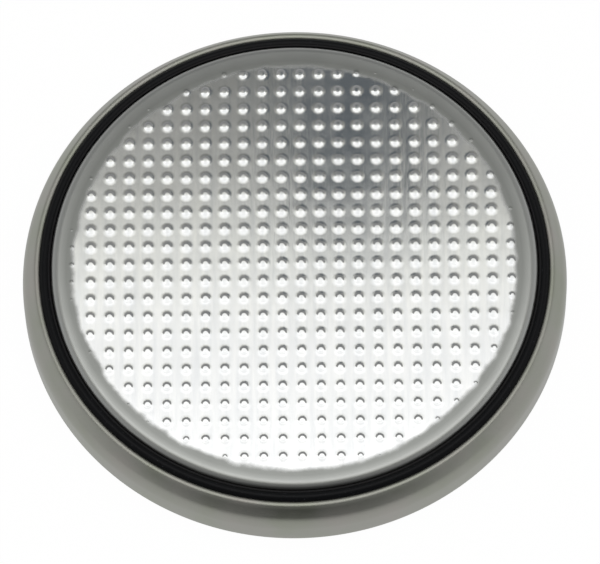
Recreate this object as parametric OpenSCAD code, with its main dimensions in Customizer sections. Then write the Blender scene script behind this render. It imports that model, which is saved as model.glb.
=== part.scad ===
// Lithium coin cell: a crimped stainless can, a bumped negative cap and a black seal between them,
// with the pellet, separator and lithium disc that they enclose.
// The origin is the centre of the can's flat base, and +Z points up through the negative cap.
// Every round piece is turned about Z from an outline of points [radius, height].

/* [Overall size] */
// Outside diameter of the positive can
cell_d = 20; // [16:0.1:25]
// Height from the flat base to the tops of the bumps on the cap
cell_h = 2.5; // [2:0.05:3.6]

/* [Positive can] */
// Thickness of the can's sheet
can_t = 0.25; // [0.2:0.01:0.3]
// Outside radius of the corner between base and wall
can_corner_r = 0.3; // [0.25:0.01:0.4]
// Outside radius of the crimp that bends the wall inward over the seal
crimp_r = 1.2; // [1:0.01:1.5]
// Angle that the crimp turns the wall inward by
crimp_a = 33; // [28:0.1:38]
// Length of the straight flank between the crimp's bend and the lip
crimp_flank_w = 0.46; // [0.35:0.01:0.6]
// Depth of the can's lip below the flat ground of the cap
lip_drop = 0.33; // [0.25:0.01:0.4]

/* [Negative cap] */
// Thickness of the cap's sheet
cap_t = 0.25; // [0.2:0.01:0.3]
// Distance from the outside of the can to the cap's upper wall
rim_w = 1.05; // [1:0.01:1.3]
// Width of the smooth shoulder round the bumped face
shoulder_w = 0.85; // [0.6:0.01:1.2]
// Angle that the shoulder has dipped by where the corner begins
shoulder_a = 6; // [2:0.5:12]
// Outside radius of the cap's top corner
cap_corner_r = 0.38; // [0.3:0.01:0.45]
// Radius of the hollow where the upper wall meets the step
step_hollow_r = 0.1; // [0.06:0.01:0.12]
// Outside radius where the step turns down into the skirt
step_round_r = 0.3; // [0.2:0.01:0.31]

/* [Bumps] */
// Distance between neighbouring bumps, along X and along Y
bump_pitch = 0.7; // [0.55:0.01:1]
// How far the lattice lies off the axis, along X
bump_shift = -0.1; // [-0.35:0.01:0.35]
// Diameter of a bump at the cap's face
bump_base_d = 0.4; // [0.34:0.01:0.5]
// Diameter of a bump's flat top
bump_top_d = 0.18; // [0.1:0.01:0.24]
// Height of a bump
bump_h = 0.03; // [0.02:0.005:0.06]
// Width of the outer band in which the bumps shrink to nothing
bump_fade_w = 0.5; // [0.2:0.01:0.8]
// How far that band reaches out over the shoulder
bump_reach = 0.3; // [0:0.01:0.4]

/* [Seal] */
// Thickness of the gasket between the can's wall and the cap's skirt
gasket_t = 0.38; // [0.3:0.01:0.46]
// Thickness of the gasket between the can's lip and the cap's step
gasket_lid_t = 0.32; // [0.26:0.01:0.4]
// Thickness of the gasket below the skirt's edge
gasket_foot_t = 0.34; // [0.25:0.01:0.45]
// Thickness of the gasket's hook on the inner side of the skirt
gasket_hook_t = 0.45; // [0.3:0.01:0.6]
// Rise of the gasket's crown between the lip and the sealant
gasket_crown_h = 0.08; // [0.02:0.01:0.1]
// How far round the lip's rounded edge the gasket is squeezed up
gasket_wrap_a = 140; // [125:1:160]
// Width of the groove between gasket and cap that the sealant fills
sealant_w = 0.1; // [0.06:0.01:0.15]
// Depth of that groove
sealant_h = 0.17; // [0.1:0.01:0.2]
// Depth of the sealant's upper edge below the flat ground of the cap
sealant_drop = 0.26; // [0.2:0.01:0.4]
// Dip of the sealant's hollow surface
sealant_dip = 0.02; // [0.01:0.005:0.04]

/* [Contents] */
// Thickness of the lithium disc
lithium_t = 0.5; // [0.3:0.01:0.6]
// Gap at the side between the lithium and the cap's wall
lithium_side_gap = 0.8; // [0.5:0.05:1.5]
// Thickness of the separator
separator_t = 0.18; // [0.1:0.01:0.3]
// Gap at the side between the separator and the cap's wall
separator_side_gap = 0.1; // [0.05:0.01:0.3]
// Gap at the side between the collector ring and the gasket
ring_side_gap = 0.55; // [0.3:0.05:0.9]
// Thickness of the collector ring's sheet
ring_t = 0.12; // [0.08:0.01:0.2]
// Height of the collector ring
ring_h = 0.6; // [0.4:0.01:0.75]
// Width of the ring's foot under the pellet
ring_foot_w = 0.9; // [0.5:0.05:1.5]

/* [Fit] */
// Clearance between pieces that are pressed together
fit_gap = 0.01; // [0.005:0.001:0.02]

/* [Hidden] */

// Curve finish: steps along an arc of an outline, steps along the shallow arc of the shoulder,
// steps round a bump, and steps round a turned piece
arc_steps = 12;
shoulder_steps = 3;
bump_steps = 24;
$fn = 180;

// Heights
cap_face_z = cell_h - bump_h;
cap_under_z = cap_face_z - cap_t;
lip_top_z = cap_face_z - lip_drop;

// The can's wall, crimp and rounded lip
can_r = cell_d / 2;
can_bore_r = can_r - can_t;
can_bore_corner_r = max(can_corner_r - can_t, 0.02);
lip_r = can_t / 2;
crimp_mid_r = crimp_r - lip_r;
lip_c = [can_r - crimp_r + crimp_mid_r * cos(crimp_a) - crimp_flank_w * sin(crimp_a),
         lip_top_z - lip_r];
crimp_c = [can_r - crimp_r,
           lip_c.y - crimp_mid_r * sin(crimp_a) - crimp_flank_w * cos(crimp_a)];
lip_under_z = lip_c.y - lip_r * sin(crimp_a);

// The cap's shoulder, corner, step and skirt
cap_r = can_r - rim_w;
cap_bore_r = cap_r - cap_t;
face_r = cap_r - shoulder_w;
shoulder_run = shoulder_w - cap_corner_r * (1 - sin(shoulder_a));
shoulder_r = shoulder_run / sin(shoulder_a);
shoulder_c = [face_r, cap_face_z - shoulder_r];
cap_corner_c = shoulder_c + (shoulder_r - cap_corner_r) * [sin(shoulder_a), cos(shoulder_a)];
step_z = lip_under_z - gasket_lid_t;
skirt_r = can_bore_r - gasket_t;
skirt_end_z = can_t + gasket_foot_t;
hollow_c = [cap_r + step_hollow_r, step_z + step_hollow_r];
round_c = [skirt_r - step_round_r, step_z - step_round_r];

// The gasket's foot, hook and crown
foot_z = can_t + fit_gap;
foot_corner_r = can_bore_corner_r + 0.05;
hook_r = skirt_r - cap_t - fit_gap;
hook_bore_r = hook_r - gasket_hook_t;
hook_top_z = step_z - cap_t - 4 * fit_gap;
seal_r = cap_r + fit_gap;
sealant_top_z = cap_face_z - sealant_drop;
groove_edge = [seal_r + sealant_w, sealant_top_z];
groove_floor = [seal_r, sealant_top_z - sealant_h];
crown_start = lip_c + (lip_r + fit_gap) * [cos(gasket_wrap_a), sin(gasket_wrap_a)];

// The stack between the can's base and the cap
lithium_z = cap_under_z - lithium_t;
separator_z = lithium_z - separator_t;
lithium_r = cap_bore_r - lithium_side_gap;
separator_r = cap_bore_r - separator_side_gap;
ring_r = hook_bore_r - ring_side_gap;
pellet_r = ring_r - ring_t - fit_gap;
ring_foot_r = ring_r - ring_t - ring_foot_w;

// Points along an arc about c, from angle a0 to angle a1
function arc(c, r, a0, a1, steps = arc_steps) =
    [for (i = [0:steps]) let (a = a0 + (a1 - a0) * i / steps) c + r * [cos(a), sin(a)]];

// Points from p to q along a line that is lifted into an arch of height h
function arch(p, q, h, steps = arc_steps) =
    [for (i = [0:steps]) let (t = i / steps) p + t * (q - p) + [0, h * sin(180 * t)]];

// Height of the cap's face and shoulder at a radius from the axis
function cap_surface_z(r) =
    r <= face_r ? cap_face_z
                : shoulder_c.y + sqrt(pow(shoulder_r, 2) - pow(r - face_r, 2));

// Size of the bump at a radius from the axis, as a share of a full bump
function bump_share(r) = min(1, (face_r + bump_reach - r) / bump_fade_w);

// The outside of the cap, offset outward by d, from its face to the edge of its skirt
function cap_outline(d) = concat(
    arc(shoulder_c, shoulder_r + d, 90, 90 - shoulder_a, shoulder_steps),
    arc(cap_corner_c, max(cap_corner_r + d, 0), 90 - shoulder_a, 0),
    skirt_outline(d));

// The part of that outline below the upper wall
function skirt_outline(d) = concat(
    arc(hollow_c, step_hollow_r - d, 180, 270),
    arc(round_c, max(step_round_r + d, 0), 90, 0));

function reversed(list) = [for (i = [len(list) - 1:-1:0]) list[i]];

module turned(outline) {
    rotate_extrude() polygon(outline);
}

// A stainless cup with a straight wall, crimped inward over the seal and rounded at its lip.
module positive_can() {
    color("#96968f") turned(concat(
        [[0, 0]],
        arc([can_r - can_corner_r, can_corner_r], can_corner_r, -90, 0),
        arc(crimp_c, crimp_r, 0, crimp_a),
        arc(lip_c, lip_r, crimp_a, crimp_a + 180),
        arc(crimp_c, crimp_r - can_t, crimp_a, 0),
        arc([can_bore_r - can_bore_corner_r, can_t + can_bore_corner_r],
            can_bore_corner_r, 0, -90),
        [[0, can_t]]));
}

// One bump: a cone with a flat top, whose root is sunk into the sheet. It shrinks by its share.
module bump(share) {
    base_r = bump_base_d / 2;
    top_r = bump_top_d / 2;
    root_h = bump_h / 4;
    root_r = base_r + (base_r - top_r) * root_h / bump_h;
    scale(share) rotate_extrude($fn = bump_steps)
        polygon([[0, -root_h], [root_r, -root_h], [top_r, bump_h], [0, bump_h]]);
}

// A square lattice of bumps, with a row on the X axis and the Y axis about midway between columns.
module bumps() {
    reach = face_r + bump_reach - bump_fade_w / 5;
    count = ceil(reach / bump_pitch);
    for (column = [-count:count], row = [-count:count]) {
        place = [bump_pitch * (column + 0.5) + bump_shift, bump_pitch * row];
        if (norm(place) < reach)
            translate([place.x, place.y, cap_surface_z(norm(place))])
                bump(bump_share(norm(place)));
    }
}

// A drawn steel hat: bumped face, smooth shoulder, upper wall, step, and skirt held by the gasket.
module negative_cap() {
    color("#c9cbcc") union() {
        turned(concat(
            [[0, cap_face_z]],
            cap_outline(0),
            [[skirt_r, skirt_end_z], [skirt_r - cap_t, skirt_end_z]],
            reversed(cap_outline(-cap_t)),
            [[0, cap_under_z]]));
        bumps();
    }
}

// The gasket grips the skirt like a hook, lines the can's wall and wells up round the lip.
module sealing_gasket() {
    color("#1c1c1f") turned(concat(
        [[hook_bore_r, foot_z]],
        arc([can_bore_r - fit_gap - foot_corner_r, foot_z + foot_corner_r], foot_corner_r, -90, 0),
        arc(crimp_c, crimp_r - can_t - fit_gap, 0, crimp_a),
        arc(lip_c, lip_r + fit_gap, crimp_a + 180, gasket_wrap_a),
        arch(crown_start, groove_edge, gasket_crown_h),
        [groove_floor],
        skirt_outline(fit_gap),
        [[skirt_r + fit_gap, skirt_end_z - fit_gap], [hook_r, skirt_end_z - fit_gap],
         [hook_r, hook_top_z], [hook_bore_r, hook_top_z]]));
}

// Black sealant fills the groove between the gasket and the cap's wall, with a hollow surface.
module sealant_bead() {
    color("#0e0e10") turned(concat(
        [groove_floor + [0, fit_gap]],
        arch(groove_edge - [fit_gap, 0], [seal_r, sealant_top_z], -sealant_dip)));
}

// A disc of soft lithium, pressed against the inside of the cap.
module lithium_anode() {
    color("#b9bcc2") translate([0, 0, lithium_z]) cylinder(h = lithium_t, r = lithium_r);
}

// A disc of porous non-woven sheet, soaked with electrolyte.
module separator() {
    color("#f0efe9") translate([0, 0, separator_z]) cylinder(h = separator_t, r = separator_r);
}

// A pressed pellet of manganese dioxide, which stands on the can's base and on the ring's foot.
module cathode_pellet() {
    color("#2b2b2d") turned([
        [0, can_t], [ring_foot_r - fit_gap, can_t],
        [ring_foot_r - fit_gap, can_t + ring_t + fit_gap], [pellet_r, can_t + ring_t + fit_gap],
        [pellet_r, separator_z], [0, separator_z]]);
}

// A stainless ring of L section, which joins the pellet's edge to the can.
module cathode_ring() {
    color("#8c8d8e") turned([
        [ring_foot_r, can_t], [ring_r, can_t], [ring_r, can_t + ring_h],
        [ring_r - ring_t, can_t + ring_h], [ring_r - ring_t, can_t + ring_t],
        [ring_foot_r, can_t + ring_t]]);
}

positive_can();
negative_cap();
sealing_gasket();
sealant_bead();
lithium_anode();
separator();
cathode_pellet();
cathode_ring();
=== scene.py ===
# %% [markdown]
# # A lithium coin cell
# A coin cell is a steel can closed by a steel cap, with a black plastic gasket squeezed between them.
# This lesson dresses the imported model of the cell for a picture. The four pieces that show are made
# again as smooth surfaces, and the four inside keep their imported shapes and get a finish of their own.

import bpy
import numpy as np
from mathutils import Matrix, Vector


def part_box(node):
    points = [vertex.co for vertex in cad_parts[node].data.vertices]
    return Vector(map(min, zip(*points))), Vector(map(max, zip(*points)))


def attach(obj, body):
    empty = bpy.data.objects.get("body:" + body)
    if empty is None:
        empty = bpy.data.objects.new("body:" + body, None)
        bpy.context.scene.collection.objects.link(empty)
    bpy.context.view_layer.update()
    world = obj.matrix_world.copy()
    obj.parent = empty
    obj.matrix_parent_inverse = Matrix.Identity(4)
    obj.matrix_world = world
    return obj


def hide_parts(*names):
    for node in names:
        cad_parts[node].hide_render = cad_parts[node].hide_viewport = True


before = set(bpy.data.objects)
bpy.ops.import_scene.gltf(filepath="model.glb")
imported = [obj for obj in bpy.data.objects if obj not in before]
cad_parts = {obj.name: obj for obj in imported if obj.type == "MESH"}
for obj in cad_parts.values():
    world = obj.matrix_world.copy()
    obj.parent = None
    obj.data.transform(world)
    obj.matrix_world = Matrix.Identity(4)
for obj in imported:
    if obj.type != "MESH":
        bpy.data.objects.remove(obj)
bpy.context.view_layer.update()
print("pieces in the packed model:", sorted(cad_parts))

# %% [markdown]
# ## Sizes
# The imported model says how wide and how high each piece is, and those numbers are read from it. What a
# box can't say, such as the thickness of a sheet or the bend of an edge, is written out in millimetres.

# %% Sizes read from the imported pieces, in millimetres
MM = 0.001


def extent(node):
    """Largest radius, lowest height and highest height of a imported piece, in millimetres."""
    low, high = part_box(node)
    return high.x / MM, low.z / MM, high.z / MM


can_r, _, lip_top_z = extent("positive_can")
skirt_r, skirt_end_z, cap_top_z = extent("negative_cap")
print(f"can radius {can_r:.3f}, lip at {lip_top_z:.3f}, skirt radius {skirt_r:.3f}, top {cap_top_z:.3f}")

# %% Sizes of the sheets, bends and bumps, in millimetres
can_t, can_corner_r = 0.25, 0.3
crimp_r, crimp_a, crimp_flank_w, lip_r = 1.2, 33.0, 0.46, 0.125
cap_t, rim_w, shoulder_w, shoulder_a, cap_corner_r = 0.25, 1.05, 0.85, 6.0, 0.38
hollow_r, round_r = 0.1, 0.3
bump_pitch, bump_shift, bump_h = 0.7, -0.1, 0.03
bump_reach, bump_fade_w = 0.3, 0.5
gasket_lid_t, gasket_hook_t, gasket_wrap_a, gasket_crown_h = 0.32, 0.45, 140.0, 0.08
sealant_w, sealant_h, sealant_drop, sealant_dip = 0.1, 0.17, 0.26, 0.02
fit_gap = 0.01

cap_face_z = cap_top_z - bump_h
cap_r = can_r - rim_w
face_r = cap_r - shoulder_w

# %% [markdown]
# ## Turned surfaces
# Almost every piece of a coin cell is round, because presses and moulds for round pieces are simple.
# Blender has a Screw modifier and a Spin tool for such shapes. Here each surface is worked out instead:
# an outline of radius and height is repeated at a list of angles, and both are whole arrays. That way
# the number of faces is known, the poles are single points, and the cap can use angles of its own.

# %% Arcs and arches for the outlines


def arc(centre, radius, start, end, steps):
    """Points on a circle: its centre plus the radius times the cosine and sine of evenly spaced angles."""
    angle = np.radians(np.linspace(start, end, steps + 1))
    return np.asarray(centre) + radius * np.stack([np.cos(angle), np.sin(angle)], -1)


def arch(start, end, height, steps):
    """Points on a straight line from start to end, lifted by the height times half a sine wave."""
    share = np.linspace(0, 1, steps + 1)[:, None]
    lift = height * np.sin(np.pi * share) * np.array([[0.0, 1.0]])
    return np.asarray(start) + share * (np.asarray(end) - np.asarray(start)) + lift


# %% Turn an outline round the Z axis


def turned_points(outline, angles):
    """x = radius * cos(angle), y = radius * sin(angle), z = height, for every angle and outline point."""
    radius, height = outline[:, 0], outline[:, 1]
    x = np.outer(np.cos(angles), radius)
    y = np.outer(np.sin(angles), radius)
    return np.stack([x, y, np.broadcast_to(height, x.shape)], -1)


def ring_quads(index, closed=False):
    """Quads between the columns of a table of point numbers, with a row for each angle, all the way round."""
    if closed:
        index = np.concatenate([index, index[:, :1]], 1)
    after = np.roll(index, -1, 0)
    corners = [index[:, :-1], after[:, :-1], after[:, 1:], index[:, 1:]]
    return np.stack(corners, -1).reshape(-1, 4)


def fan(ring, pole, upward):
    """Triangles from each edge of a ring of point numbers to one pole."""
    pairs = [ring, np.roll(ring, -1)] if upward else [np.roll(ring, -1), ring]
    return np.stack([*pairs, np.full(len(ring), pole)], -1)


# %% Put points and faces into a mesh


def make_piece(name, points, faces, crease=38.0):
    """A mesh object at the origin, smooth but for edges that turn by more than the crease, in degrees."""
    mesh = bpy.data.meshes.new(name)
    mesh.from_pydata((points * MM).tolist(), [], [corner for part in faces for corner in part.tolist()])
    mesh.shade_smooth()
    mesh.set_sharp_from_angle(angle=np.radians(crease))
    mesh.update()
    piece = bpy.data.objects.new(name, mesh)
    bpy.context.scene.collection.objects.link(piece)
    print(f"{name}: {len(mesh.vertices)} points, {len(mesh.polygons)} faces")
    return piece


def turned_piece(name, outline, sectors, crease=38.0):
    """A turned solid. An outline that starts and ends on the axis is closed there by two poles."""
    angles = np.linspace(0, 2 * np.pi, sectors, endpoint=False)
    on_axis = outline[0, 0] == 0
    side = outline[1:-1] if on_axis else outline
    points = turned_points(side, angles).reshape(-1, 3)
    index = np.arange(len(points)).reshape(sectors, -1)
    faces = [ring_quads(index, closed=not on_axis)]
    if on_axis:
        poles = np.array([[0, 0, outline[0, 1]], [0, 0, outline[-1, 1]]])
        faces += [fan(index[:, 0], len(points), False), fan(index[:, -1], len(points) + 1, True)]
        points = np.concatenate([points, poles])
    return make_piece(name, points, faces, crease)


# %% [markdown]
# ## The can
# The can is a stainless cup, drawn from sheet. Its wall is upright at the foot. A die crimps it inward
# over the gasket, which leaves a bend, a short straight flank, and the rounded edge of the sheet. The
# outline goes along the outside, round the edge and back along the inside, so the sheet has its real
# thickness. The flank is the straight line between two arcs, so it needs no points of its own.

# %% Outline of the can, and the piece
crimp_mid_r = crimp_r - lip_r
outward = np.array([np.cos(np.radians(crimp_a)), np.sin(np.radians(crimp_a))])
flank = crimp_flank_w * np.array([-outward[1], outward[0]])
crimp_c = np.array([can_r - crimp_r, lip_top_z - lip_r - (crimp_mid_r * outward + flank)[1]])
lip_c = crimp_c + crimp_mid_r * outward + flank
can_bore_r, bore_corner_r = can_r - can_t, max(can_corner_r - can_t, 0.02)

can_outline = np.concatenate([
    [[0, 0]],
    arc([can_r - can_corner_r, can_corner_r], can_corner_r, -90, 0, 8),
    arc(crimp_c, crimp_r, 0, crimp_a, 24),
    arc(lip_c, lip_r, crimp_a, crimp_a + 180, 20),
    arc(crimp_c, crimp_r - can_t, crimp_a, 0, 12),
    arc([can_bore_r - bore_corner_r, can_t + bore_corner_r], bore_corner_r, 0, -90, 4),
    [[0, can_t]],
])
can = turned_piece("can_shell", can_outline, 360)

# %% [markdown]
# ## The gasket and the sealant
# The gasket is moulded from black polypropylene. It grips the skirt of the cap, and the crimp squeezes
# it until it wells up in a low crown between the lip and the cap. A black sealant lies in the groove that
# is left beside the cap, and its surface is hollow, as a liquid's is between two walls.

# %% Heights of the cap's step and of the groove
lip_under_z = lip_c[1] - lip_r * np.sin(np.radians(crimp_a))
step_z = lip_under_z - gasket_lid_t
hollow_c = np.array([cap_r + hollow_r, step_z + hollow_r])
round_c = np.array([skirt_r - round_r, step_z - round_r])
seal_r, sealant_top_z = cap_r + fit_gap, cap_face_z - sealant_drop
groove_edge = np.array([seal_r + sealant_w, sealant_top_z])
groove_floor = np.array([seal_r, sealant_top_z - sealant_h])


def skirt_outline(offset):
    """The cap's outline from its upper wall to its skirt, moved outward by an offset."""
    return np.concatenate([
        arc(hollow_c, hollow_r - offset, 180, 270, 8),
        arc(round_c, max(round_r + offset, 0), 90, 0, 8),
    ])


# %% The gasket
foot_z, hook_r = can_t + fit_gap, skirt_r - cap_t - fit_gap
foot_corner_r = bore_corner_r + 0.05
hook_bore_r, hook_top_z = hook_r - gasket_hook_t, step_z - cap_t - 4 * fit_gap
crown_start = arc(lip_c, lip_r + fit_gap, gasket_wrap_a, gasket_wrap_a, 0)[0]

gasket_outline = np.concatenate([
    [[hook_bore_r, foot_z]],
    arc([can_bore_r - fit_gap - foot_corner_r, foot_z + foot_corner_r], foot_corner_r, -90, 0, 4),
    arc(crimp_c, crimp_r - can_t - fit_gap, 0, crimp_a, 12),
    arc(lip_c, lip_r + fit_gap, crimp_a + 180, gasket_wrap_a, 10),
    arch(crown_start, groove_edge, gasket_crown_h, 12)[1:],
    [groove_floor],
    skirt_outline(fit_gap),
    [[skirt_r + fit_gap, skirt_end_z - fit_gap], [hook_r, skirt_end_z - fit_gap]],
    [[hook_r, hook_top_z], [hook_bore_r, hook_top_z]],
])
gasket = turned_piece("gasket_ring", gasket_outline, 300)

# %% The sealant
sealant_outline = np.concatenate([
    [groove_floor + [0, fit_gap]],
    arch(groove_edge - [fit_gap, 0], [seal_r, sealant_top_z], -sealant_dip, 8),
])
sealant = turned_piece("sealant_ring", sealant_outline, 300)

# %% [markdown]
# ## The cap
# The cap is a drawn steel hat. Its face carries a square lattice of small bumps, so that a contact
# touches it at many points. Each bump has a nearly flat top, a steep side and a long soft foot, and the
# punch that pressed them leans a little to the front. Near the smooth shoulder the bumps shrink and
# stop. An array of separate cones would meet the sheet in hard lines, and its bumps would be separate
# solids. So each bump is a square cell of the sheet itself: a few rings of points round its middle, and
# then the border that it shares with the next cell. The last ring is level with the sheet.

# %% One cell of the face
# for each ring: its radius, how far its middle lies along Y, its height, and the slope outward there
RING_R = np.array([0.08, 0.125, 0.185, 0.25, 0.31])
RING_Y = np.array([-0.012, -0.016, -0.022, -0.03, -0.03])
RING_H = np.array([0.029, 0.0175, 0.0028, 0.0007, 0.0])
RING_SLOPE = np.array([-0.015, -0.36, -0.045, -0.018, 0.0])
TOP_LEAN = 0.014
CELL_ANGLES = np.radians(15 + 30 * np.arange(12))
CELL_AIM = np.stack([np.cos(CELL_ANGLES), np.sin(CELL_ANGLES)], -1)


def cell_plan():
    """Middle point, then rings of 12 points, then 12 points on the square border: place, height and slope."""
    rings = RING_R[:, None, None] * CELL_AIM
    rings[..., 1] += RING_Y[:, None]
    border = bump_pitch / 2 * CELL_AIM / np.abs(CELL_AIM).max(1, keepdims=True)
    plan = np.concatenate([[[0, RING_Y[0]]], rings.reshape(-1, 2), border])
    height = np.concatenate([[bump_h], np.repeat(RING_H, 12), np.zeros(12)])
    slope = np.concatenate([[[0, 0]], (RING_SLOPE[:, None, None] * CELL_AIM).reshape(-1, 2), 0 * border])
    slope[:1 + 12, 1] += TOP_LEAN
    return plan, height, slope


def cell_faces():
    """A fan of 12 triangles round the middle, and a band of 12 quads between each ring and the next."""
    index = 1 + np.arange(12 * (len(RING_R) + 1)).reshape(-1, 12).T
    return fan(index[:, 0], 0, True), ring_quads(index)[:, ::-1]


plan, plan_height, plan_slope = cell_plan()
cell_fan, cell_bands = cell_faces()
print(f"a bump has {len(cell_fan) + len(cell_bands)} faces")

# %% [markdown]
# The sheet under the bumps is flat as far as the shoulder, which then falls away along a wide arc. The
# same function gives the height of the sheet for the bumps and for the shoulder, so they always meet.

# %% Height of the sheet, and size of the bump at a radius
shoulder_run = shoulder_w - cap_corner_r * (1 - np.sin(np.radians(shoulder_a)))
shoulder_r = shoulder_run / np.sin(np.radians(shoulder_a))
shoulder_c = np.array([face_r, cap_face_z - shoulder_r])
turn = np.radians(shoulder_a)
corner_c = shoulder_c + (shoulder_r - cap_corner_r) * np.array([np.sin(turn), np.cos(turn)])


def sheet_height(radius):
    """Height of the face up to its edge, and then of a circle of the shoulder's radius."""
    past = np.maximum(radius - face_r, 0)
    return shoulder_c[1] + np.sqrt(shoulder_r**2 - past**2)


def sheet_slope(x, y):
    """How fast that height changes along X and along Y: the slope of the circle, along the radius."""
    radius = np.maximum(np.hypot(x, y), 1e-6)
    past = np.maximum(radius - face_r, 0)
    fall = -past / np.sqrt(shoulder_r**2 - past**2)
    return np.stack([fall * x / radius, fall * y / radius], -1)


def normal_of(slope):
    """At right angles to a slope: minus the slope along X and Y, and one along Z, brought to length 1."""
    normal = np.concatenate([-slope, np.ones((*slope.shape[:-1], 1))], -1)
    return normal / np.linalg.norm(normal, axis=-1, keepdims=True)


def bump_share(radius):
    """Size of the bump at a radius: full, but for the last half millimetre, where it fades in a line."""
    return np.clip((face_r + bump_reach - radius) / bump_fade_w, 0, 1)


# %% All the cells of the face
lattice_reach = face_r + bump_reach - bump_fade_w / 5
count = int(np.ceil(lattice_reach / bump_pitch))
column, row = np.meshgrid(np.arange(-count, count + 1), np.arange(-count, count + 1))
middle = np.stack([bump_pitch * (column + 0.5) + bump_shift, bump_pitch * row], -1).reshape(-1, 2)
middle = middle[np.hypot(*middle.T) < lattice_reach]
share = bump_share(np.hypot(*middle.T))[:, None]

cells_r = 8.5
is_border = np.arange(len(plan)) >= len(plan) - 12
size = np.where(is_border, 1.0, share)[..., None]
ground = middle[:, None] + plan * size
radius = np.hypot(ground[..., 0], ground[..., 1])
ground *= np.minimum(1, cells_r / np.maximum(radius, 1e-6))[..., None]
radius = np.hypot(ground[..., 0], ground[..., 1])
height = sheet_height(radius) + share * plan_height
normal = normal_of(sheet_slope(ground[..., 0], ground[..., 1]) + plan_slope)
print(f"{len(middle)} bumps on the face")

# %% Merge the borders that neighbouring cells share
cells = np.concatenate([ground, height[..., None]], -1).reshape(-1, 3)
_, first, same = np.unique(np.round(cells, 5), axis=0, return_index=True, return_inverse=True)
cells, same, cell_normal = cells[first], same.ravel(), normal.reshape(-1, 3)[first]
start = (np.arange(len(middle)) * len(plan))[:, None, None]
face_tris = same[(start + cell_fan).reshape(-1, 3)]
face_quads = same[(start + cell_bands).reshape(-1, 4)]

# %% [markdown]
# The cells end in steps, like a circle drawn on squared paper. Every point of that stepped edge is
# joined to a circle on the shoulder along its own angle. The shoulder, the wall, the step and the skirt
# are then turned at the same angles, so the cap is one closed surface with no loose edges.

# %% The stepped edge of the cells
edges = np.concatenate([
    np.stack([part, np.roll(part, -1, 1)], -1).reshape(-1, 2) for part in (face_tris, face_quads)])
_, position, uses = np.unique(np.sort(edges, 1), axis=0, return_index=True, return_counts=True)
border = np.unique(edges[position[uses == 1]])
border = border[np.argsort(np.arctan2(cells[border, 1], cells[border, 0]))]
border_angle = np.arctan2(cells[border, 1], cells[border, 0])
border_radius = np.hypot(cells[border, 0], cells[border, 1])
print(f"{len(border)} points on the stepped edge, {np.sum(uses == 1)} edges")

# %% The shoulder between the stepped edge and a circle
corner_gap = 0.04
blend_r = face_r + shoulder_run - corner_gap
step_share = np.array([1, 2, 3]) / 3
blend_radius = border_radius[:, None] + (blend_r - border_radius[:, None]) * step_share
blend = np.stack([
    blend_radius * np.cos(border_angle)[:, None],
    blend_radius * np.sin(border_angle)[:, None],
    sheet_height(blend_radius)], -1)

# %% The rest of the cap, turned at the same angles


def cap_edge(offset):
    """The cap's corner, upper wall, step and skirt, moved outward by an offset."""
    corner = arc(corner_c, max(cap_corner_r + offset, 0), 90 - shoulder_a, 0, 12 if offset == 0 else 4)
    return np.concatenate([corner, skirt_outline(offset)])


under = arc(shoulder_c, shoulder_r - cap_t, 90, 90 - shoulder_a, 2)[:-1]
cap_outline = np.concatenate([
    cap_edge(0),
    [[skirt_r, skirt_end_z], [skirt_r - cap_t, skirt_end_z]],
    cap_edge(-cap_t)[::-1],
    under[::-1],
])
body = turned_points(cap_outline, border_angle)
outer = np.concatenate([blend, body], 1)
outer_index = len(cells) + np.arange(outer.shape[0] * outer.shape[1]).reshape(outer.shape[:2])
outer_index = np.concatenate([border[:, None], outer_index], 1)
cap_points = np.concatenate([cells, outer.reshape(-1, 3), [[0, 0, cap_face_z - cap_t]]])
cap = make_piece("cap_shell", cap_points, [
    face_tris, face_quads, ring_quads(outer_index)[:, ::-1],
    fan(outer_index[:, -1], len(cap_points) - 1, False)])

# %% [markdown]
# Blender guesses how light meets a smooth surface by averaging the faces round each point. Next to a
# bump that tilts the flat ground too, and a mirror shows a tilt of half a degree. The true direction is
# known from the slope of the same formulas, so it is stored with the points. Zero means "guess here".

# %% True normals for the face, the shoulder and the corner
blend_normal = normal_of(sheet_slope(blend[..., 0], blend[..., 1]))
corner_turn = arc([0, 0], 1, 90 - shoulder_a, 0, 12)
body_normal = np.zeros_like(body)
body_normal[:, :len(corner_turn)] = turned_points(corner_turn, border_angle)
outer_normal = np.concatenate([blend_normal, body_normal], 1).reshape(-1, 3)
cap_normal = np.concatenate([cell_normal, outer_normal, [[0, 0, 0]]])
cap.data.normals_split_custom_set_from_vertices(cap_normal.tolist())
print(f"{np.sum(np.any(cap_normal != 0, 1))} of {len(cap_normal)} points have a normal of their own")

# %% [markdown]
# A closed surface has every edge between exactly two faces, and a volume above zero when its faces
# point outward. Both are quick to count, and they catch a flipped or missing face before any picture.

# %% Check that each new piece is closed and faces outward
import bmesh


def closed_volume(piece):
    """Number of open edges, and the volume inside, in cubic millimetres."""
    shape = bmesh.new()
    shape.from_mesh(piece.data)
    loose = sum(len(edge.link_faces) != 2 for edge in shape.edges)
    volume = shape.calc_volume(signed=True) / MM**3
    shape.free()
    return loose, volume


for piece in (can, gasket, sealant, cap):
    loose, volume = closed_volume(piece)
    print(f"{piece.name}: {loose} open edges, {volume:.1f} cubic millimetres")

# %% [markdown]
# ## Materials
# Every finish is made from nodes. One function adds a node, sets it up and links it, and colours are
# written as they look on a screen and turned to the linear values that light is added up in.

# %% Nodes and colours


def linear(text):
    """A colour such as "#c8c8c0" as linear red, green, blue and alpha."""
    value = np.array([int(text[i:i + 2], 16) / 255 for i in (1, 3, 5)])
    value = np.where(value <= 0.04045, value / 12.92, ((value + 0.055) / 1.055) ** 2.4)
    return (*value.tolist(), 1.0)


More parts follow.
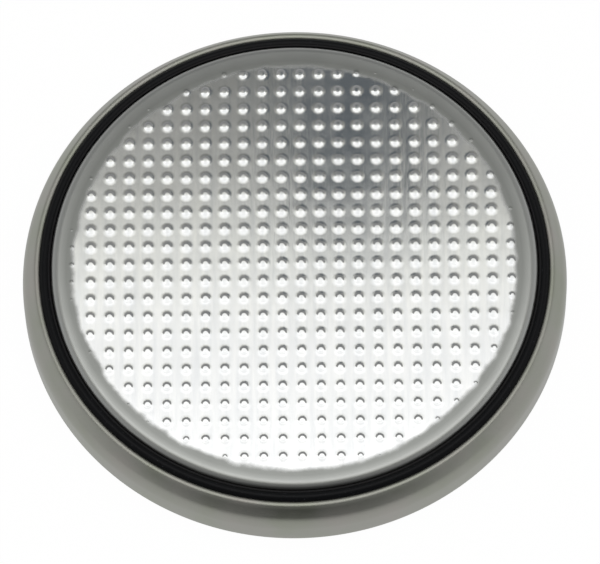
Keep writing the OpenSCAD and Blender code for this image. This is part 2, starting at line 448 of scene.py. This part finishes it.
def add(tree, kind, inputs=None, stops=None, **settings):
    """Adds a node: settings are its own, inputs are set or linked, stops are a ramp's places and colours."""
    node = tree.nodes.new("ShaderNode" + kind)
    for name, value in settings.items():
        setattr(node, name, value)
    for name, value in (inputs or {}).items():
        if isinstance(value, bpy.types.NodeSocket):
            tree.links.new(value, node.inputs[name])
        else:
            node.inputs[name].default_value = value
    for i, (place, colour) in enumerate(stops or []):
        ramp = node.color_ramp.elements
        stop = ramp[i] if i < 2 else ramp.new(place)
        stop.position, stop.color = place, colour
    return node


def new_material(name):
    """An empty material, its node tree, and the Object coordinates of its piece, in metres."""
    material = bpy.data.materials.new(name)
    material.use_nodes = True
    material.node_tree.nodes.clear()
    tree = material.node_tree
    return material, tree, add(tree, "TexCoord").outputs["Object"]


def grey(value):
    return (value, value, value, 1.0)


# %% [markdown]
# ### Bright rolled stainless steel
# The cap is pressed from sheet that leaves polished rollers almost like a mirror. The rollers leave
# faint lines along the sheet, here along Y, and the press leaves the face a little wavy. The bumped
# face is pressed against a polished die and stays bright, while the shoulder is stretched and gets
# rougher. The shoulder's colour also holds a painted shade: a dark ring that grows lighter towards the
# corner, centred a little in front of the cap's centre.

# %% Bright rolled stainless steel
steel_bright, tree, place = new_material("stainless_bright_rolled")
along = add(tree, "Mapping", {"Vector": place, "Scale": (1, 0.08, 1)}).outputs["Vector"]
lines = add(tree, "TexNoise", {"Vector": along, "Scale": 1 / (0.22 * MM), "Detail": 3.0, "Roughness": 0.6})
waves = add(tree, "TexNoise", {"Vector": place, "Scale": 1 / (2.6 * MM), "Detail": 3.0, "Roughness": 0.5})
wavy = add(tree, "Bump", {"Height": waves.outputs["Fac"], "Strength": 1.0, "Distance": 0.004 * MM})
lined = add(tree, "Bump", {
    "Height": lines.outputs["Fac"], "Strength": 1.0, "Distance": 0.0013 * MM,
    "Normal": wavy.outputs["Normal"]})
# Painted shade: the distance from a point a little in front of the cap's centre, which both roughens and
# darkens the shoulder's colour
flat = add(tree, "VectorMath", {0: place, 1: (1, 1, 0), 2: (0, 0.12 * MM, 0)}, operation="MULTIPLY_ADD")
reach = add(tree, "VectorMath", {0: flat.outputs["Vector"]}, operation="LENGTH").outputs["Value"]
spots = add(tree, "TexNoise", {"Vector": place, "Scale": 1 / (0.9 * MM), "Detail": 4.0})
ragged = add(tree, "Math", {
    0: spots.outputs["Fac"], 1: 0.4 * MM, 2: reach}, operation="MULTIPLY_ADD").outputs["Value"]
shoulder_rough_and_shade = add(tree, "MapRange", {
    "Value": ragged, "From Min": 8.2 * MM, "From Max": 8.44 * MM, "To Min": 0.0, "To Max": 1.0},
    interpolation_type="SMOOTHSTEP").outputs["Result"]
gloss = add(tree, "MapRange", {
    "Value": spots.outputs["Fac"], "From Min": 0.3, "From Max": 0.7, "To Min": 0.08, "To Max": 0.12})
rough = add(tree, "Math", {
    0: shoulder_rough_and_shade, 1: 0.22, 2: gloss.outputs["Result"]}, operation="MULTIPLY_ADD").outputs["Value"]
tint = add(tree, "ValToRGB", {"Fac": lines.outputs["Fac"]},
           stops=[(0.3, linear("#cfd1d2")), (0.7, linear("#dbdcdb"))])
# Painted shade on the shoulder: dark at first, lighter again towards the cap's corner
rim = add(tree, "MapRange", {"Value": reach, "From Min": 8.35 * MM, "From Max": 8.75 * MM})
painted_shoulder_shade = add(tree, "ValToRGB", {"Fac": rim.outputs["Result"]},
           stops=[(0.0, linear("#8e908d")), (1.0, linear("#b4b6b3"))])
tone_with_painted_shade = add(tree, "Mix", {
    "Factor": shoulder_rough_and_shade, 6: tint.outputs["Color"], 7: painted_shoulder_shade.outputs["Color"]}, data_type="RGBA").outputs[2]
steel = add(tree, "BsdfPrincipled", {
    "Base Color": tone_with_painted_shade, "Metallic": 1.0, "Roughness": rough, "Normal": lined.outputs["Normal"]})
add(tree, "OutputMaterial", {"Surface": steel.outputs["BSDF"]})

# %% [markdown]
# ### Satin stainless steel
# The can is drawn from a duller, slightly warm steel. Tumbling against other cells gives it a soft
# satin skin with fine scratches. The sheared edge of the sheet, which is the can's lip, is rougher yet.

# %% Satin stainless steel
steel_satin, tree, place = new_material("stainless_satin")
grain = add(tree, "TexNoise", {"Vector": place, "Scale": 1 / (0.09 * MM), "Detail": 4.0, "Roughness": 0.7})
patch = add(tree, "TexNoise", {"Vector": place, "Scale": 1 / (1.8 * MM), "Detail": 3.0})
slant = add(tree, "Mapping", {"Vector": place, "Rotation": (0.4, 0.2, 0.7), "Scale": (1, 0.06, 0.5)})
scratch = add(tree, "TexNoise", {"Vector": slant.outputs["Vector"], "Scale": 1 / (0.12 * MM), "Detail": 2.0})
skin = add(tree, "Bump", {"Height": grain.outputs["Fac"], "Strength": 1.0, "Distance": 0.0016 * MM})
skin = add(tree, "Bump", {
    "Height": scratch.outputs["Fac"], "Strength": 1.0, "Distance": 0.001 * MM,
    "Normal": skin.outputs["Normal"]})
tint = add(tree, "ValToRGB", {"Fac": patch.outputs["Fac"]},
           stops=[(0.3, linear("#a0a397")), (0.5, linear("#a6a79f")), (0.7, linear("#aba9a3"))])
flat = add(tree, "VectorMath", {0: place, 1: (1, 1, 0)}, operation="MULTIPLY").outputs["Vector"]
reach = add(tree, "VectorMath", {0: flat}, operation="LENGTH").outputs["Value"]
sheared = add(tree, "MapRange", {
    "Value": reach, "From Min": 9.62 * MM, "From Max": 9.5 * MM, "To Min": 0.0, "To Max": 0.2})
satin = add(tree, "MapRange", {
    "Value": patch.outputs["Fac"], "From Min": 0.3, "From Max": 0.7, "To Min": 0.3, "To Max": 0.36})
rough = add(tree, "Math", {0: sheared.outputs["Result"], 1: satin.outputs["Result"]}, operation="ADD")
steel = add(tree, "BsdfPrincipled", {
    "Base Color": tint.outputs["Color"], "Metallic": 1.0, "Roughness": rough.outputs["Value"],
    "Normal": skin.outputs["Normal"]})
add(tree, "OutputMaterial", {"Surface": steel.outputs["BSDF"]})

# %% [markdown]
# ### Moulded polypropylene
# Black polypropylene comes out of the mould with a low sheen. Where the crimp squeezed it, fine lines
# run round the ring, and dust leaves light specks on it.

# %% Moulded polypropylene
polypropylene, tree, place = new_material("polypropylene_moulded_black")
flat = add(tree, "VectorMath", {0: place, 1: (1, 1, 0)}, operation="MULTIPLY").outputs["Vector"]
reach = add(tree, "VectorMath", {0: flat}, operation="LENGTH").outputs["Value"]
rings = add(tree, "TexNoise", {"W": reach, "Scale": 1 / (0.05 * MM), "Detail": 2.0}, noise_dimensions="1D")
pits = add(tree, "TexNoise", {"Vector": place, "Scale": 1 / (0.12 * MM), "Detail": 3.0})
skin = add(tree, "Bump", {"Height": rings.outputs["Fac"], "Strength": 1.0, "Distance": 0.001 * MM})
skin = add(tree, "Bump", {
    "Height": pits.outputs["Fac"], "Strength": 1.0, "Distance": 0.004 * MM, "Normal": skin.outputs["Normal"]})
dust = add(tree, "TexNoise", {"Vector": place, "Scale": 1 / (0.07 * MM), "Detail": 1.0})
tint = add(tree, "ValToRGB", {"Fac": dust.outputs["Fac"]},
           stops=[(0.7, linear("#08090c")), (0.78, linear("#303136"))])
plastic = add(tree, "BsdfPrincipled", {
    "Base Color": tint.outputs["Color"], "Roughness": 0.45, "IOR": 1.49, "Specular IOR Level": 0.14,
    "Normal": skin.outputs["Normal"]})
add(tree, "OutputMaterial", {"Surface": plastic.outputs["BSDF"]})

# %% [markdown]
# ### Bitumen
# The sealant is a bitumen film that was painted on as a liquid. It is blacker than the gasket, softer
# in its shine, and a little lumpy.

# %% Bitumen
bitumen, tree, place = new_material("bitumen_sealant")
lumps = add(tree, "TexNoise", {"Vector": place, "Scale": 1 / (0.2 * MM), "Detail": 3.0})
skin = add(tree, "Bump", {"Height": lumps.outputs["Fac"], "Strength": 1.0, "Distance": 0.01 * MM})
tint = add(tree, "ValToRGB", {"Fac": lumps.outputs["Fac"]},
           stops=[(0.3, linear("#060607")), (0.75, linear("#101013"))])
tar = add(tree, "BsdfPrincipled", {
    "Base Color": tint.outputs["Color"], "Roughness": 0.5, "IOR": 1.6, "Specular IOR Level": 0.15,
    "Normal": skin.outputs["Normal"]})
add(tree, "OutputMaterial", {"Surface": tar.outputs["BSDF"]})

# %% [markdown]
# ### What is inside the cell
# Nothing of the inside shows while the cell is closed, but the pieces have their finishes too: soft
# lithium with roller marks, white non-woven sheet, a grainy black pellet, and plain steel strip.

# %% Lithium foil
lithium, tree, place = new_material("lithium_rolled_foil")
along = add(tree, "Mapping", {"Vector": place, "Scale": (1, 0.05, 1)}).outputs["Vector"]
marks = add(tree, "TexNoise", {"Vector": along, "Scale": 1 / (0.3 * MM), "Detail": 4.0})
haze = add(tree, "TexNoise", {"Vector": place, "Scale": 1 / (3 * MM), "Detail": 5.0})
skin = add(tree, "Bump", {"Height": marks.outputs["Fac"], "Strength": 1.0, "Distance": 0.01 * MM})
tint = add(tree, "ValToRGB", {"Fac": haze.outputs["Fac"]},
           stops=[(0.3, linear("#c3c6cc")), (0.7, linear("#8f939c"))])
rough = add(tree, "MapRange", {"Value": haze.outputs["Fac"], "To Min": 0.3, "To Max": 0.6})
metal = add(tree, "BsdfPrincipled", {
    "Base Color": tint.outputs["Color"], "Metallic": 1.0, "Roughness": rough.outputs["Result"],
    "Normal": skin.outputs["Normal"]})
add(tree, "OutputMaterial", {"Surface": metal.outputs["BSDF"]})

# %% Non-woven sheet
nonwoven, tree, place = new_material("nonwoven_polypropylene_fibre")
bend = add(tree, "TexNoise", {"Vector": place, "Scale": 1 / (0.8 * MM), "Detail": 2.0}).outputs["Color"]
bent = add(tree, "VectorMath", {0: bend, 1: (0.6 * MM, 0.6 * MM, 0), 2: place}, operation="MULTIPLY_ADD")
east = add(tree, "Mapping", {"Vector": bent.outputs["Vector"], "Scale": (0.08, 1, 1)}).outputs["Vector"]
north = add(tree, "Mapping", {"Vector": bent.outputs["Vector"], "Scale": (1, 0.08, 1)}).outputs["Vector"]
fibre_e = add(tree, "TexNoise", {"Vector": east, "Scale": 1 / (0.05 * MM), "Detail": 1.0}).outputs["Fac"]
fibre_n = add(tree, "TexNoise", {"Vector": north, "Scale": 1 / (0.05 * MM), "Detail": 1.0}).outputs["Fac"]
fibres = add(tree, "Math", {0: fibre_e, 1: fibre_n}, operation="MAXIMUM").outputs["Value"]
skin = add(tree, "Bump", {"Height": fibres, "Strength": 1.0, "Distance": 0.03 * MM})
tint = add(tree, "ValToRGB", {"Fac": fibres}, stops=[(0.45, linear("#d8d7cf")), (0.7, linear("#f6f5f0"))])
cloth = add(tree, "BsdfPrincipled", {
    "Base Color": tint.outputs["Color"], "Roughness": 0.9, "Normal": skin.outputs["Normal"]})
add(tree, "OutputMaterial", {"Surface": cloth.outputs["BSDF"]})

# %% Pressed manganese dioxide
dioxide, tree, place = new_material("manganese_dioxide_pressed")
grains = add(tree, "TexVoronoi", {"Vector": place, "Scale": 1 / (0.12 * MM)})
skin = add(tree, "Bump", {"Height": grains.outputs["Distance"], "Strength": 1.0, "Distance": 0.02 * MM})
tint = add(tree, "ValToRGB", {"Fac": grains.outputs["Color"]},
           stops=[(0.2, linear("#161617")), (0.8, linear("#343436"))])
pellet = add(tree, "BsdfPrincipled", {
    "Base Color": tint.outputs["Color"], "Roughness": 0.8, "Normal": skin.outputs["Normal"]})
add(tree, "OutputMaterial", {"Surface": pellet.outputs["BSDF"]})

# %% Plain steel strip
strip, tree, place = new_material("stainless_strip")
marks = add(tree, "TexNoise", {
    "Vector": add(tree, "Mapping", {"Vector": place, "Scale": (1, 1, 0.05)}).outputs["Vector"],
    "Scale": 1 / (0.08 * MM), "Detail": 3.0})
skin = add(tree, "Bump", {"Height": marks.outputs["Fac"], "Strength": 1.0, "Distance": 0.002 * MM})
tint = add(tree, "ValToRGB", {"Fac": marks.outputs["Fac"]},
           stops=[(0.3, linear("#a9aaab")), (0.7, linear("#bdbebe"))])
steel = add(tree, "BsdfPrincipled", {
    "Base Color": tint.outputs["Color"], "Metallic": 1.0, "Roughness": 0.3, "Normal": skin.outputs["Normal"]})
add(tree, "OutputMaterial", {"Surface": steel.outputs["BSDF"]})

# %% [markdown]
# ## Put the pieces in the frame
# Each new piece rides on the one body of the cell, stands for the imported piece of the same place, and
# gets its new finish. The inner pieces are the imported ones with a new material.

# %% Ride, replace and finish
for piece, node, slot, material in [
    (can, "positive_can", "can_steel", steel_satin),
    (cap, "negative_cap", "cap_steel", steel_bright),
    (gasket, "sealing_gasket", "black_polypropylene", polypropylene),
    (sealant, "sealant_bead", "bitumen", bitumen),
]:
    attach(piece, "root")
    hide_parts(node)
    piece.data.materials.append(material)

for node, material in [
    ("lithium_anode", lithium), ("separator", nonwoven), ("cathode_pellet", dioxide), ("cathode_ring", strip),
]:
    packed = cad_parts[node]
    for holder in packed.material_slots:
        holder.material = material
    if not packed.material_slots:
        packed.data.materials.append(material)

# %% [markdown]
# ## Floor
# The cell lies on white board. To the camera the board is plain white, and part of it still takes real
# light, so that the cell keeps its shadow. In the metal the board shows too, but only as far as a soft
# front edge a few centimetres away, where the darker room begins.

# %% Floor of white board
board, tree, place = new_material("white_board_matt")
matt = add(tree, "BsdfDiffuse", {"Color": linear("#bcbcbc"), "Roughness": 0.5})
path = add(tree, "LightPath")
front = add(tree, "MapRange", {
    "Value": add(tree, "SeparateXYZ", {"Vector": place}).outputs["Y"],
    "From Min": -30 * MM, "From Max": -14 * MM, "To Max": 0.72}, interpolation_type="SMOOTHSTEP")
in_metal = add(tree, "Math", {
    0: path.outputs["Is Glossy Ray"], 1: front.outputs["Result"]}, operation="MULTIPLY")
strength = add(tree, "Math", {
    0: path.outputs["Is Camera Ray"], 1: 1.04, 2: in_metal.outputs["Value"]}, operation="MULTIPLY_ADD")
white = add(tree, "Emission", {"Color": grey(1.0), "Strength": strength.outputs["Value"]})
seen = add(tree, "Math", {
    0: path.outputs["Is Camera Ray"], 1: path.outputs["Is Glossy Ray"]}, operation="ADD")
part = add(tree, "Math", {0: seen.outputs["Value"], 1: 0.94}, operation="MULTIPLY")
mix = add(tree, "MixShader", {
    "Fac": part.outputs["Value"], 1: matt.outputs["BSDF"], 2: white.outputs["Emission"]})
add(tree, "OutputMaterial", {"Surface": mix.outputs["Shader"]})

side = 0.6
floor_mesh = bpy.data.meshes.new("floor")
floor_mesh.from_pydata([(x * side, y * side, -0.02 * MM) for x, y in ((-1, -1), (1, -1), (1, 1), (-1, 1))],
                       [], [(0, 1, 2, 3)])
floor_mesh.materials.append(board)
floor = bpy.data.objects.new("floor", floor_mesh)
bpy.context.scene.collection.objects.link(floor)

# %% [markdown]
# ## Light
# Polished metal shows its surroundings, so most of the look of this cell is the look of the room. The
# far room is written as a function of direction: four darker walls, each a ramp over the height angle,
# mixed by the compass direction. It is infinitely far away, so every point of the cell sees the same.

# %% The room as a function of direction
world = bpy.data.worlds.new("studio")
bpy.context.scene.world = world
world.use_nodes = True
tree = world.node_tree
tree.nodes.clear()
look = add(tree, "TexCoord").outputs["Generated"]
axis = add(tree, "SeparateXYZ", {"Vector": look})
x, y, z = (axis.outputs[name] for name in "XYZ")


def maths(operation, first, second=0.0):
    """One sum on two values, in the node tree at hand."""
    return add(tree, "Math", {0: first, 1: second}, operation=operation).outputs["Value"]


angle_up = maths("DIVIDE", maths("ARCSINE", z), np.pi / 2)
level = maths("SQRT", maths("MAXIMUM", maths("ADD", maths("MULTIPLY", x, x), maths("MULTIPLY", y, y)), 1e-6))
north = maths("DIVIDE", y, level)
east = maths("DIVIDE", x, level)
print(f"{len(tree.nodes)} nodes turn a direction into a height angle and a compass direction")

# %% Walls
walls = {
    "north": (north, [
        (0.0, 0.4), (0.2, 0.34), (0.32, 0.27), (0.42, 0.28), (0.52, 0.33), (0.64, 0.42), (1.0, 0.9)]),
    "south": (maths("MULTIPLY", north, -1.0), [
        (0.0, 0.03), (0.12, 0.03), (0.22, 0.2), (0.4, 0.24), (0.5, 0.2), (0.6, 0.5), (1.0, 0.9)]),
    "east": (east, [(0.0, 0.66), (0.4, 0.5), (0.6, 0.5), (1.0, 0.9)]),
    "west": (maths("MULTIPLY", east, -1.0), [(0.0, 0.6), (0.4, 0.46), (0.6, 0.48), (1.0, 0.9)]),
}
room = None
for name, (facing, stops) in walls.items():
    ramp = add(tree, "ValToRGB", {"Fac": angle_up}, stops=[(place, grey(value)) for place, value in stops])
    weight = maths("POWER", maths("MAXIMUM", facing, 0.0), 2.0)
    part = add(tree, "VectorMath", {0: ramp.outputs["Color"], "Scale": weight}, operation="SCALE")
    part = part.outputs["Vector"]
    room = part if room is None else add(tree, "VectorMath", {0: room, 1: part}, operation="ADD").outputs[0]

# %% Plain white behind the cell
path = add(tree, "LightPath")
studio = add(tree, "Background", {"Color": room, "Strength": 1.0})
plain = add(tree, "Background", {"Color": grey(1.0), "Strength": 1.0})
sky = add(tree, "MixShader", {
    "Fac": path.outputs["Is Camera Ray"], 1: studio.outputs["Background"], 2: plain.outputs["Background"]})
add(tree, "OutputWorld", {"Surface": sky.outputs["Shader"]})

# %% [markdown]
# The lamp is a cloth-covered light box above the cell. It hangs close, so each point of the cap sees a
# different place of the cloth, and that gives the face its slow change from light to dark. A far lamp in
# the room's own ramps would light the whole flat face in one grey. The cloth is brightest in a belt
# round its middle and falls off towards the back, as it does past the tubes inside the box, and one soft
# shade hangs over its back half. The camera looks through it.

# %% Brightness of the cloth, from its middle to its edge
BELT, RIM = 0.2, 1.5
LAMP_STOPS = [((away - BELT) / (RIM - BELT), light / 2) for away, light in [
    (0.2, 1.35), (0.34, 1.35), (0.5, 1.65), (0.6, 1.7), (0.68, 1.42), (0.76, 1.34), (0.835, 1.34),
    (0.91, 1.28), (0.945, 1.15), (0.98, 0.95), (1.015, 0.74), (1.05, 0.57), (1.1, 0.45), (1.15, 0.36),
    (1.28, 0.25), (1.4, 0.22)]]


def cloth_colour(light):
    """White in the belt, and slightly warm where the cloth is dimmer."""
    return light, 0.995 * light, (0.99 if light > 0.66 else 0.94) * light, 1.0


print(f"{len(LAMP_STOPS)} stops across the cloth")

# %% The lamp box overhead
lamp_mesh = bpy.data.meshes.new("lamp_box")
lamp_mesh.from_pydata([(x * MM, y * MM, 0) for x, y in ((-170, -180), (170, -180), (170, 64), (-170, 64))],
                      [], [(0, 3, 2, 1)])
lamp = bpy.data.objects.new("lamp_box", lamp_mesh)
lamp.location = (0, 22 * MM, 130 * MM)
bpy.context.scene.collection.objects.link(lamp)

# %% Lit diffuser cloth
glow, tree, place = new_material("lit_diffuser_cloth")


def edge(value, start, end):
    """Rises softly from 0 to 1 between two places in millimetres."""
    return add(tree, "MapRange", {"Value": value, "From Min": start * MM, "From Max": end * MM},
               interpolation_type="SMOOTHSTEP").outputs["Result"]


spot = add(tree, "SeparateXYZ", {"Vector": place})
spot_x, spot_y = spot.outputs["X"], spot.outputs["Y"]
across = maths("DIVIDE", spot_x, 120 * MM)
back = maths("MAXIMUM", maths("DIVIDE", spot_y, 40 * MM), maths("DIVIDE", spot_y, -130 * MM))
offset = add(tree, "CombineXYZ", {"X": across, "Y": back})
away = add(tree, "VectorMath", {0: offset.outputs["Vector"]}, operation="LENGTH").outputs["Value"]
shine = add(tree, "MapRange", {"Value": away, "From Min": BELT, "From Max": RIM})
level = add(tree, "ValToRGB", {"Fac": shine.outputs["Result"]},
            stops=[(stop, cloth_colour(light)) for stop, light in LAMP_STOPS])
shade = maths("MULTIPLY", edge(spot_y, 35, 42), edge(spot_x, -3, -0.5))
shade = maths("MULTIPLY", shade, edge(spot_x, 6.5, 4.5))
dim = add(tree, "Mix", {
    "Factor": shade, 6: level.outputs["Color"], 7: (0.047, 0.056, 0.066, 1.0)}, data_type="RGBA").outputs[2]

# %% Show the cloth to everything but the camera, as far as its rim
lit = add(tree, "Emission", {"Color": dim, "Strength": 2.0})
clear = add(tree, "BsdfTransparent", {"Color": grey(1.0)})
path = add(tree, "LightPath")
rim = add(tree, "MapRange", {"Value": away, "From Min": 1.4, "From Max": RIM}).outputs["Result"]
show = maths("MULTIPLY", maths("SUBTRACT", 1.0, path.outputs["Is Camera Ray"]), maths("SUBTRACT", 1.0, rim))
cloth = add(tree, "MixShader", {"Fac": show, 1: clear.outputs["BSDF"], 2: lit.outputs["Emission"]})
add(tree, "OutputMaterial", {"Surface": cloth.outputs["Shader"]})
lamp.data.materials.append(glow)

# %% [markdown]
# ## Camera
# The cell is seen from the front and from well above, through a long lens that keeps the circles round.
# The camera is turned a little about its own axis, so the rows of bumps slope gently.

# %% Camera
heading, elevation, tilt = np.radians([1.15, 65.3, 1.67]).tolist()
back = Vector((np.sin(heading) * np.cos(elevation), -np.cos(heading) * np.cos(elevation), np.sin(elevation)))
right = Vector((np.cos(heading), np.sin(heading), 0))
up = back.cross(right)
right, up = (Matrix.Rotation(-tilt, 3, back) @ side for side in (right, up))
target = 0.18 * MM * right + 0.306 * MM * up

camera_data = bpy.data.cameras.new("camera")
camera_data.lens, camera_data.sensor_width = 396.6, 36.0
camera_data.clip_start, camera_data.clip_end = 0.01, 20.0
camera = bpy.data.objects.new("camera", camera_data)
turn = Matrix((right, up, back)).transposed().to_4x4()
camera.matrix_world = Matrix.Translation(target + 244 * MM * back) @ turn
bpy.context.scene.collection.objects.link(camera)
bpy.context.scene.camera = camera
bpy.context.scene.view_settings.view_transform = "Standard"
